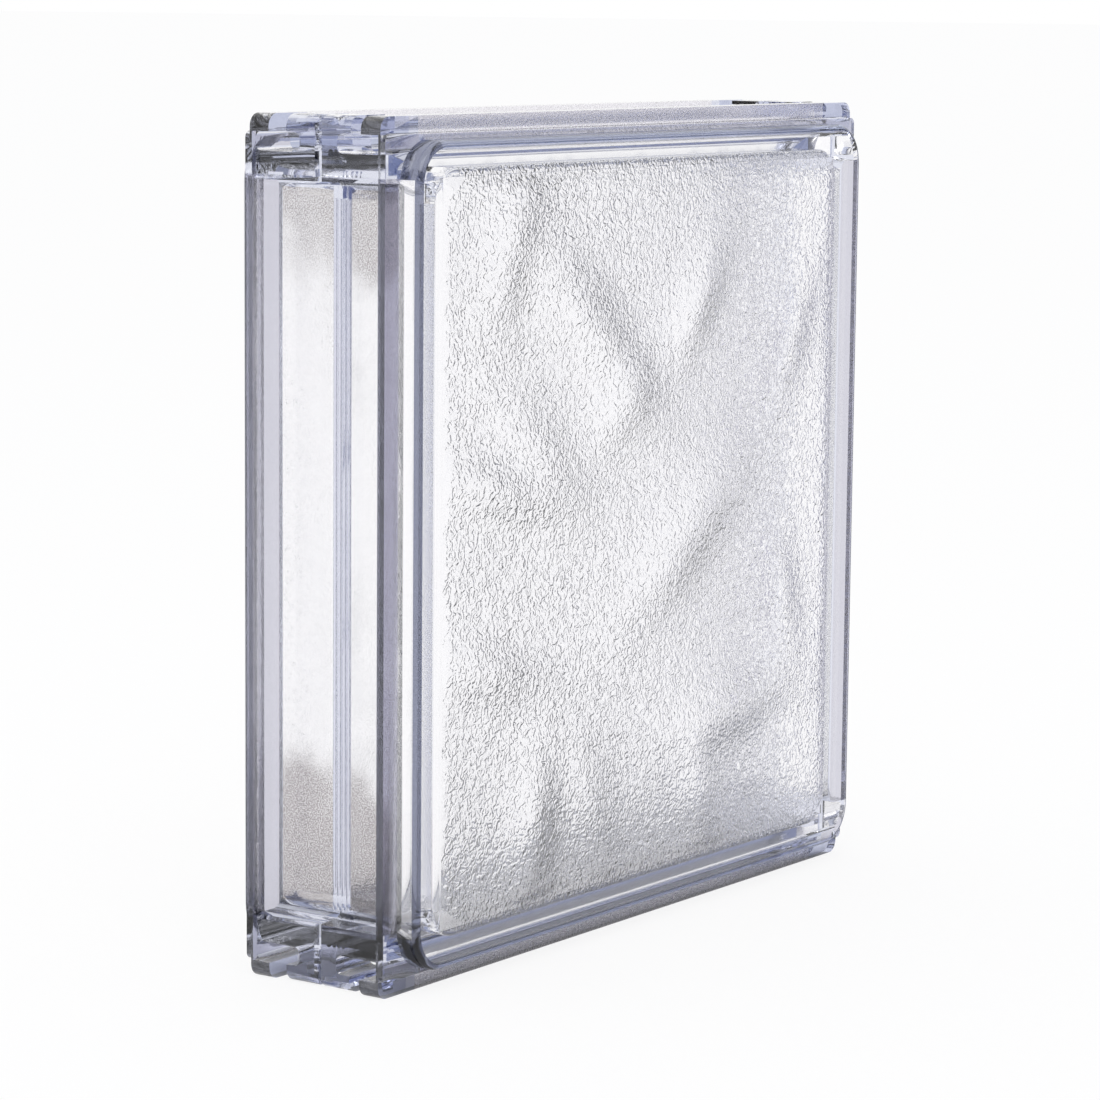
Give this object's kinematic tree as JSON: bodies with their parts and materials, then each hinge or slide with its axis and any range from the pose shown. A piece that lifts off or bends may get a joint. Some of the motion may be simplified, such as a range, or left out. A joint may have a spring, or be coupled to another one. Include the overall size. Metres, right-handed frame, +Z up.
{
  "type": "glass block",
  "caption": "Hollow square glass block with raised wavy panels, thin flanges, recessed edge channels and slotted corner lugs, for walls that let light through.",
  "frame": {"origin": "middle of the bottom of the block, on the plane its lips stand on", "axes": "+X across the block to the right, +Y from the front panel to the rear panel, +Z up"},
  "size_m": [0.197, 0.0504, 0.197],
  "materials": {
    "clear": "clear with a faint blue tint; polished outside, stippled waves inside the panels, frosted in the edge channels"
  },
  "bodies": {
    "root": {"front_shell": "clear", "rear_shell": "clear"}
  },
  "joints": []
}
